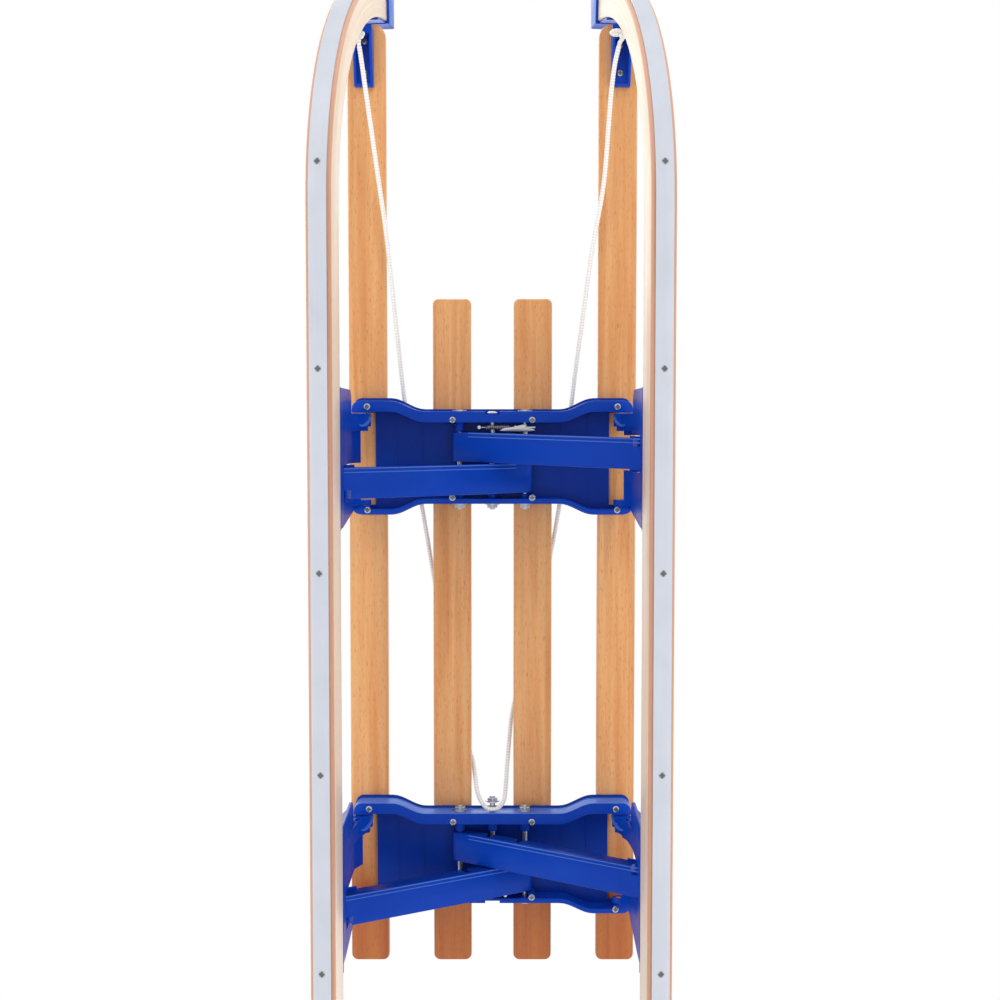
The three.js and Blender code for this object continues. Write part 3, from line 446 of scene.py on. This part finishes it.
def makeZincPlate():
    # Zinc-plated steel fasteners: bright grey with a faint mottled haze.
    material, shader = newMaterial("zincPlatedSteel")
    coords = addNode(material, "TexCoord").outputs["Object"]
    haze = addNode(material, "TexNoise", {"Scale": 500, "Detail": 4}, {"Vector": coords})
    unshadedZinc = addNode(material, "Mix", {"data_type": "RGBA", 6: linear("b0b3b8"), 7: linear("dcdee0")},
                    {0: haze.outputs["Fac"]})
    # The driver recesses are darkened with painted shade, marked by the attribute recess.
    recess = addNode(material, "Attribute", {"attribute_name": "recess"})
    colour = addNode(material, "Mix", {"data_type": "RGBA", 7: linear("26292e")},
                     {0: recess.outputs["Fac"], 6: unshadedZinc.outputs[2]})
    rough = addNode(material, "MapRange", {"To Min": 0.22, "To Max": 0.48}, {"Value": haze.outputs["Fac"]})
    links = material.node_tree.links
    links.new(colour.outputs[2], shader.inputs["Base Color"])
    links.new(rough.outputs[0], shader.inputs["Roughness"])
    shader.inputs["Metallic"].default_value = 0.9
    return material

mouldedNylon = makeMouldedNylon("mouldedBlueNylon", "worn", 0)
# This copy of the nylon carries painted highlight.
highlightPaintedNylon = makeMouldedNylon("highlightPaintedBlueNylon", "paintedHighlight", 0.6)
# This copy of the nylon carries painted shade.
shadePaintedNylon = makeMouldedNylon("shadePaintedBlueNylon", "paintedShade", 0.45)
drawnSteel = makeDrawnSteel()
zincPlate = makeZincPlate()
print("materials made")

# The frame's own pieces, with their edges broken

def repaint(piece, material, chosen):
    # Gives the chosen faces a second material.
    piece.data.materials.append(material)
    for face in piece.data.polygons:
        if chosen(face):
            face.material_index = len(piece.data.materials) - 1

for place in ("outer", "inner"):
    for name in ("left", "right"):
        roundedCopy(f"slat_{place}_{name}", varnishedBeech, 0)
for side, name in ((1, "left"), (-1, "right")):
    roundedCopy("runner_" + name, laminatedAsh[side], 0.0004, 2)
    roundedCopy("rail_" + name, drawnSteel, 0.0003, 2)
    cap = roundedCopy("horn_cap_" + name, mouldedNylon, 0.0005, 2)
    # The caps' inner sides are painted pale as a highlight.
    repaint(cap, highlightPaintedNylon, lambda face: face.normal.x * side < -0.8 and abs(face.center.x) < 0.13)
    roundedCopy("front_bracket_" + name, mouldedNylon, 0.0006, 3)
    roundedCopy("horn_pin_" + name, zincPlate, 0.0003, 2)
    for end in ("front", "rear"):
        roundedCopy(f"runner_bracket_{end}_{name}", mouldedNylon, 0.0008, 3)
        bar = roundedCopy(f"strut_{end}_{name}", mouldedNylon, 0.0009, 3)
        # The strut's front side, the wall of its channel, is darkened with painted shade.
        repaint(bar, shadePaintedNylon, lambda face: face.normal.y < -0.8)
        for reach in ("fore", "aft"):
            roundedCopy(f"hinge_pin_{end}_{name}_{reach}", zincPlate, 0.0003, 2)

# The struts' own lines, as in the part's source: pivots across the seat, heights, slope and skew.
strut = {"pivotX": 0.036, "pivotY": {"left": -0.0115, "right": 0.0225}, "pivotZ": 0.2004,
         "skew": {"left": 0.006, "right": 0.002}, "halfWidth": 0.016, "halfHeight": 0.009, "slope": 28.6,
         "eye": 0.016, "length": 0.218, "end": 0.2195, "beads": (0.001, 0.0048),
         "beadWidth": 0.0016, "beadHeight": 0.0003, "beadRoot": -0.0003,
         "stopRun": (0.2, 0.2125), "stopThickness": 0.0022,
         "stopSpan": {"left": (-0.024, 0.013), "right": (0.006, 0.043)}}

def addStrutDetails(end, side):
    # Two moulded beads along the front edge of a strut's underside.
    name = "left" if side > 0 else "right"
    slope = math.radians(strut["slope"])
    along = Vector((side * math.cos(slope), 0, -math.sin(slope)))
    below = Vector((-side * math.sin(slope), 0, -math.cos(slope)))
    pivot = Vector((-side * strut["pivotX"], tray[end] + strut["pivotY"][name], strut["pivotZ"]))

    def point(run, inset, across, proud):
        shift = strut["skew"][name] * (run - strut["eye"]) / strut["length"]
        sideways = Vector((0, shift - strut["halfWidth"] + inset + across, 0))
        return pivot + along * run + below * (strut["halfHeight"] + proud) + sideways

    half, root, crest = strut["beadWidth"] / 2, strut["beadRoot"], strut["beadHeight"]
    profile = ((-half, root), (-half * 0.3, crest), (half * 0.3, crest), (half, root))
    bm = bmesh.new()
    for inset in strut["beads"]:
        section = [bm.verts.new(point(strut["eye"], inset, *p)) for p in profile]
        made = bmesh.ops.extrude_face_region(bm, geom=[bm.faces.new(section)])["geom"]
        reach = point(strut["end"], inset, 0, 0) - point(strut["eye"], inset, 0, 0)
        bmesh.ops.translate(bm, vec=reach, verts=vertsOf(made))
    # The beads are coloured with painted highlight.
    beads = makePiece(f"strutBeads_{end}_{name}", bm, highlightPaintedNylon, f"strut_{end}_{name}")
    smooth(beads, 20)
    # The stop plate closes the channel's end and nearly fills the bracket's slot.
    low, high = strut["stopSpan"][name]
    start, finish = strut["stopRun"]
    bm = bmesh.new()
    bmesh.ops.create_cube(bm, size=1)
    for vert in bm.verts:
        run = start + (finish - start) * (vert.co.x + 0.5)
        depth = -strut["halfHeight"] + strut["stopThickness"] * (vert.co.z + 0.5)
        sideways = Vector((0, tray[end] + low + (high - low) * (vert.co.y + 0.5) - pivot.y, 0))
        vert.co = pivot + along * run + below * depth + sideways
    bmesh.ops.bevel(bm, geom=bm.edges[:], offset=0.0005, segments=2, profile=0.5, affect="EDGES", material=-1)
    plate = makePiece(f"strutStop_{end}_{name}", bm, mouldedNylon, f"strut_{end}_{name}")
    smooth(plate, 40)

cup = {"high": (0.1337, 0.1942), "low": (0.1506, 0.168), "front": -0.0475,
       "radius": 0.0128, "rim": 0.0026, "proud": 0.0026, "root": -0.0004, "steps": 24}

def addKnuckleCup(end, side):
    # The rounded rim that stiffens the underside of the front knuckle's arm.
    name = "left" if side > 0 else "right"
    high, low = (Vector((side * x, 0, z)) for x, z in (cup["high"], cup["low"]))
    down = (low - high) / 2
    out = Vector((0, 1, 0)).cross(down) * side
    out = out.normalized() * (-1 if out.z > 0 else 1)
    bm = bmesh.new()
    half = cup["rim"] / 2
    profile = ((-half, cup["root"]), (-half * 0.6, cup["proud"]), (half * 0.6, cup["proud"]), (half, cup["root"]))
    section = [bm.verts.new((cup["radius"] + x, 0, z)) for x, z in profile]
    face = bm.faces.new(section)
    bmesh.ops.spin(bm, geom=[face] + face.edges[:] + section, cent=(0, 0, 0), axis=(0, 0, 1),
                   angle=math.pi, steps=cup["steps"], use_merge=False)
    centre = (high + low) / 2 + Vector((0, tray[end] + cup["front"], 0))
    squeeze = (down.length - half) / cup["radius"]
    for vert in bm.verts:
        x, y, z = vert.co
        vert.co = centre + down.normalized() * x * squeeze + Vector((0, y, 0)) + out * z
    # The rim is coloured with painted highlight.
    rim = makePiece(f"knuckleCup_{end}_{name}", bm, highlightPaintedNylon, "folding_runner_" + name)
    smooth(rim, 30)

# The trays' middles, and what lies in them. Sleeves are given by their X and where they start and end along Y.
tray = {"front": -0.0254, "rear": 0.4187, "halfWidth": 0.062, "draftFromZ": 0.2122, "frontDraft": 0.0036,
        "rearDraft": 0.0022, "floorZ": 0.2085, "frontFace": -0.045, "sleeve": 0.0054, "sleeves": {
            "front": ((-0.036, -0.0388, -0.0281), (-0.036, 0.0399, 0.0454), (0, 0.0399, 0.0454), (0.036, 0.0399, 0.0454)),
            "rear": ((-0.036, -0.0388, -0.0281), (0, -0.0388, -0.0281), (0.036, -0.0388, -0.0281))}}

def addTray(end):
    # The tray with its mould draft: its outer walls lean out a little towards the slats.
    piece = roundedCopy("tray_" + end, mouldedNylon, 0.0008, 3)
    for vert in piece.data.vertices:
        if vert.co.z > tray["draftFromZ"]:
            draft = tray["frontDraft" if vert.co.y < tray[end] else "rearDraft"]
            vert.co.y += draft * (vert.co.y - tray[end]) / tray["halfWidth"]
    # The floor inside the tray is darkened with painted shade.
    repaint(piece, shadePaintedNylon, lambda face: face.normal.z < -0.9 and face.center.z > tray["floorZ"])
    # The tray's front faces are paled with painted highlight.
    repaint(piece, highlightPaintedNylon, lambda face: face.normal.y < -0.5 and face.center.y < tray[end] + tray["frontFace"])
    # Moulded sleeves round the bolts where no strut or latch turns.
    bm = bmesh.new()
    for x, start, finish in tray["sleeves"][end]:
        middle = Vector((x, tray[end] + (start + finish) / 2, strut["pivotZ"]))
        bmesh.ops.create_cone(bm, cap_ends=True, segments=28, radius1=tray["sleeve"], radius2=tray["sleeve"] * 0.94,
                              depth=finish - start, matrix=facing(middle, (0, 1, 0)))
    rims = [edge for edge in bm.edges if len(edge.link_faces) == 2 and edge.calc_face_angle(0) > 1]
    bmesh.ops.bevel(bm, geom=rims, offset=0.0005, segments=2, profile=0.5, affect="EDGES", material=-1)
    smooth(makePiece("boltSleeves_" + end, bm, mouldedNylon, "seat"), 40)
    for side in (1, -1):
        addStrutDetails(end, side)
        addKnuckleCup(end, side)

# The flange's outline is in mm from the tray's middle, turned round at the rear.
latchFlange = {"low": 0.1862, "thickness": 0.0012, "shift": {"front": 0, "rear": 0.0099},
               "hook": ((8, -29.5), (12, -32), (20, -33), (27, -34.5)),
               "tail": {"front": ((33, -36), (37.5, -35), (36, -32.6), (44, -31.5), (47, -29.6), (40, -28.6), (16, -28.6)),
                        "rear": ((31, -36), (34.6, -35), (33.6, -32.6), (36, -28.6), (16, -28.6))}}

def addLatchFlange(end):
    # The latch lever's turned-under flange, a bright stamped plate.
    turn = 1 if end == "front" else -1
    middle = tray[end] + latchFlange["shift"][end]
    outline = latchFlange["hook"] + latchFlange["tail"][end]
    bm = bmesh.new()
    rim = [bm.verts.new((turn * x / 1000, middle + turn * y / 1000, latchFlange["low"])) for x, y in outline]
    made = bmesh.ops.extrude_face_region(bm, geom=[bm.faces.new(rim)])["geom"]
    bmesh.ops.translate(bm, vec=(0, 0, latchFlange["thickness"]), verts=vertsOf(made))
    bmesh.ops.bevel(bm, geom=bm.edges[:], offset=0.0003, segments=2, profile=0.5, affect="EDGES", material=-1)
    flange = makePiece("latchFlange_" + end, bm, zincPlate, "latch_" + end)
    smooth(flange, 40)

for end in ("front", "rear"):
    addTray(end)
    addLatchFlange(end)
    roundedCopy("latch_" + end, zincPlate, 0.0003, 2)
    roundedCopy("spring_" + end, zincPlate, 0)
    roundedCopy("spring_post_" + end, zincPlate, 0.0002, 2)
    for i in (1, 2, 3):
        roundedCopy(f"bolt_{end}_{i}", zincPlate, 0.0005, 3)
        roundedCopy(f"nut_{end}_{i}", zincPlate, 0.0005, 2)
print("frame pieces finished")

# Screws and washers

# Rail screws are spaced along the bar, seat screws are given from a tray's middle, bracket screws by their places.
screw = {"head": 0.0042, "rise": 0.0007, "dome": 0.0011, "recess": 0.0031, "depth": 0.0016, "segments": 24,
         "railFirst": -0.311, "railPitch": 0.1965, "railCount": 5, "railSunk": 0.0012, "railOff": 0.0001,
         "seat": ((-0.0555, 0.1365), (0.0572, 0.1365), (-0.041, 0.0435), (0.0437, 0.0435)), "seatZ": 0.1883,
         "bracket": ((-0.1393, -0.4787), (-0.1395, -0.4444), (0.1393, -0.4744), (0.1395, -0.4444)), "bracketZ": 0.2098}

def pulled(bm, face, place, rise, factor, lobes=0):
    # Extrudes a face by rise along its place's Z, and widens or narrows it; lobes pinch it between its corners.
    made = bmesh.ops.extrude_face_region(bm, geom=[face])["geom"]
    back = place.inverted()
    for vert in vertsOf(made):
        own = back @ vert.co
        pinch = 1 - 0.55 * (0.5 - 0.5 * math.cos(lobes * math.atan2(own.y, own.x))) if lobes else 1
        vert.co = place @ Vector((own.x * factor * pinch, own.y * factor * pinch, own.z + rise))
    return next(g for g in made if isinstance(g, bmesh.types.BMFace))

def addScrew(bm, place, size=1):
    # A pan head with a four-lobed recess, darkened with painted shade by the layer recess.
    shade = bm.verts.layers.float.get("recess") or bm.verts.layers.float.new("recess")
    radius = screw["head"] * size
    made = bmesh.ops.create_circle(bm, cap_ends=True, segments=screw["segments"], radius=radius, matrix=place)
    face = made["verts"][0].link_faces[0]
    face = pulled(bm, face, place, screw["rise"] * size, 1)
    face = pulled(bm, face, place, screw["dome"] * size * 0.55, 0.88)
    face = pulled(bm, face, place, screw["dome"] * size * 0.4, 0.8)
    face = pulled(bm, face, place, 0.00005, screw["recess"] * size / (radius * 0.704), 4)
    for vert in face.verts:
        vert[shade] = 0.75
    face = pulled(bm, face, place, -screw["depth"] * size, 0.8)
    for vert in face.verts:
        vert[shade] = 1

# Each washer: outer radius, inner radius, thickness.
washer = {"nut": (0.0078, 0.0056, 0.0011), "head": (0.0082, 0.0062, 0.0014), "headRise": 0.0026, "segments": 28}

def addWasher(bm, place, outer, inner, thickness):
    made = bmesh.ops.create_circle(bm, cap_ends=True, segments=washer["segments"], radius=outer, matrix=place)
    face = made["verts"][0].link_faces[0]
    face = pulled(bm, face, place, thickness, 1)
    face = pulled(bm, face, place, 0, inner / outer)
    pulled(bm, face, place, -thickness * 0.9, 1)

def addRailScrews(side, name):
    # The screws follow the bar and the start of its bend.
    bm = bmesh.new()
    own = runnerFrame(side)
    for i in range(screw["railCount"]):
        y = screw["railFirst"] + screw["railPitch"] * i
        radius = runner["hornCentreZ"] - screw["railOff"]
        turn = max(0, runner["hornStartY"] - y) / radius
        foot = Vector((0, max(y, runner["hornStartY"]) - radius * math.sin(turn),
                       runner["hornCentreZ"] - radius * math.cos(turn)))
        out = Vector((0, -math.sin(turn), -math.cos(turn)))
        addScrew(bm, own @ facing(foot - out * screw["railSunk"], out), 1)
    smooth(makePiece("railScrews_" + name, bm, zincPlate, "folding_runner_" + name), 35)

def addSeatScrews(end):
    bm = bmesh.new()
    for side in (-1, 1):
        for reach, across in screw["seat"]:
            addScrew(bm, facing(Vector((side * across, tray[end] + reach, screw["seatZ"])), (0, 0, -1)), 0.85)
    smooth(makePiece("seatScrews_" + end, bm, zincPlate, "seat"), 35)

boss = {"across": 0.0435, "reach": {-0.041: 0.0061, 0.0437: 0.0042}, "top": 0.2095, "height": 0.0206, "segments": 28}

def addBosses(end):
    # The inner screws go through moulded bosses that stand out from the tray's walls; reach gives their radii.
    bm = bmesh.new()
    for across in (-boss["across"], boss["across"]):
        for reach, radius in boss["reach"].items():
            place = facing(Vector((across, tray[end] + reach, boss["top"])), (0, 0, -1))
            made = bmesh.ops.create_circle(bm, cap_ends=True, segments=boss["segments"], radius=radius, matrix=place)
            face = pulled(bm, made["verts"][0].link_faces[0], place, boss["height"], 0.93)
            # The rim is rounded over and the face inside it lies a little lower.
            for rise, factor in ((0.0005, 0.97), (0.0002, 0.92), (0, 0.8), (-0.0003, 0.97)):
                face = pulled(bm, face, place, rise, factor)
    smooth(makePiece("screwBosses_" + end, bm, mouldedNylon, "seat"), 50)

def addBracketScrews():
    bm = bmesh.new()
    for x, y in screw["bracket"]:
        addScrew(bm, facing(Vector((x, y, screw["bracketZ"])), (0, 0, -1)), 0.9)
    smooth(makePiece("frontBracketScrews", bm, zincPlate, "seat"), 35)

def addWashers():
    # Every nut has a washer, and so have the heads of the outer bolts.
    bm = bmesh.new()
    for end, out in (("front", 1), ("rear", -1)):
        for i in (1, 2, 3):
            low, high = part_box(f"nut_{end}_{i}")
            y = low[1] if out > 0 else high[1]
            seat = Vector(((low[0] + high[0]) / 2, y, strut["pivotZ"]))
            addWasher(bm, facing(seat, (0, out, 0)), *washer["nut"])
            if i != 2:
                low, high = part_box(f"bolt_{end}_{i}")
                y = low[1] + washer["headRise"] if out > 0 else high[1] - washer["headRise"]
                seat = Vector(((low[0] + high[0]) / 2, y, strut["pivotZ"]))
                addWasher(bm, facing(seat, (0, -out, 0)), *washer["head"])
    smooth(makePiece("boltWashers", bm, zincPlate, "seat"), 35)

addRailScrews(1, "left")
addRailScrews(-1, "right")
for end in ("front", "rear"):
    addSeatScrews(end)
    addBosses(end)
addBracketScrews()
addWashers()
print("fasteners made")

# Studio: a pale floor that is clear from below, a white surround, and wide soft lamps above and below

# Each lamp: name, place, what it is aimed at, size, power.
studio = {"ambient": 0.85, "floor": "dfe1e4", "floorSize": 6, "lamps": (
    ("below", (1.5, 0.4, -1.7), (0, 0.1, 0.2), 1.6, 26), ("below", (-1.5, 0.4, -1.7), (0, 0.1, 0.2), 1.6, 26),
    ("above", (-0.8, -0.9, 2.6), (0, 0, 0.2), 2.6, 26), ("front", (0.4, -3.4, -1.2), (0, 0, 0.2), 1.8, 42),
    ("fill", (1.6, 1.8, 1.8), (0, 0, 0.2), 2.6, 12))}

def addLamp(name, place, aim, size, power):
    data = bpy.data.lights.new(name, "AREA")
    data.shape, data.size, data.energy = "SQUARE", size, power
    lamp = bpy.data.objects.new(name, data)
    lamp.matrix_world = facing(Vector(place), Vector(place) - Vector(aim))
    # Lamps seen in the rails would burn them out; the white surround gives the reflections.
    lamp.visible_glossy = place[2] > 0
    scene.collection.objects.link(lamp)

def makeFloor():
    material, shader = newMaterial("studioFloor")
    shader.inputs["Base Color"].default_value = linear(studio["floor"])
    shader.inputs["Roughness"].default_value = 0.8
    path = addNode(material, "LightPath")
    sides = addNode(material, "NewGeometry")
    clear = addNode(material, "BsdfTransparent")
    white = addNode(material, "Emission", {"Strength": 1})
    glossy = addNode(material, "MixShader", None,
                     {0: path.outputs["Is Glossy Ray"], 1: shader.outputs[0], 2: white.outputs[0]})
    see = addNode(material, "Math", {"operation": "MAXIMUM"},
                  {0: sides.outputs["Backfacing"], 1: path.outputs["Is Shadow Ray"]})
    both = addNode(material, "MixShader", None, {0: see.outputs[0], 1: glossy.outputs[0], 2: clear.outputs[0]})
    material.node_tree.links.new(both.outputs[0], material.node_tree.nodes["Material Output"].inputs["Surface"])
    bm = bmesh.new()
    bmesh.ops.create_grid(bm, x_segments=1, y_segments=1, size=studio["floorSize"])
    mesh = bpy.data.meshes.new("studioFloor")
    bm.to_mesh(mesh)
    bm.free()
    mesh.materials.append(material)
    floor = bpy.data.objects.new("studioFloor", mesh)
    scene.collection.objects.link(floor)

def makeSurround():
    world = bpy.data.worlds.new("surround")
    world.use_nodes = True
    scene.world = world
    back = world.node_tree.nodes["Background"]
    path = addNode(world, "LightPath")
    seen = addNode(world, "Math", {"operation": "MAXIMUM"},
                   {0: path.outputs["Is Camera Ray"], 1: path.outputs["Is Glossy Ray"]})
    shown = addNode(world, "Math", {"operation": "MAXIMUM"},
                    {0: seen.outputs[0], 1: path.outputs["Is Transmission Ray"]})
    strength = addNode(world, "MapRange", {"To Min": studio["ambient"], "To Max": 1}, {"Value": shown.outputs[0]})
    back.inputs["Color"].default_value = (1, 1, 1, 1)
    world.node_tree.links.new(strength.outputs[0], back.inputs["Strength"])

makeFloor()
makeSurround()
for lamp in studio["lamps"]:
    addLamp(*lamp)
scene.view_settings.view_transform = "Standard"
print("studio made")
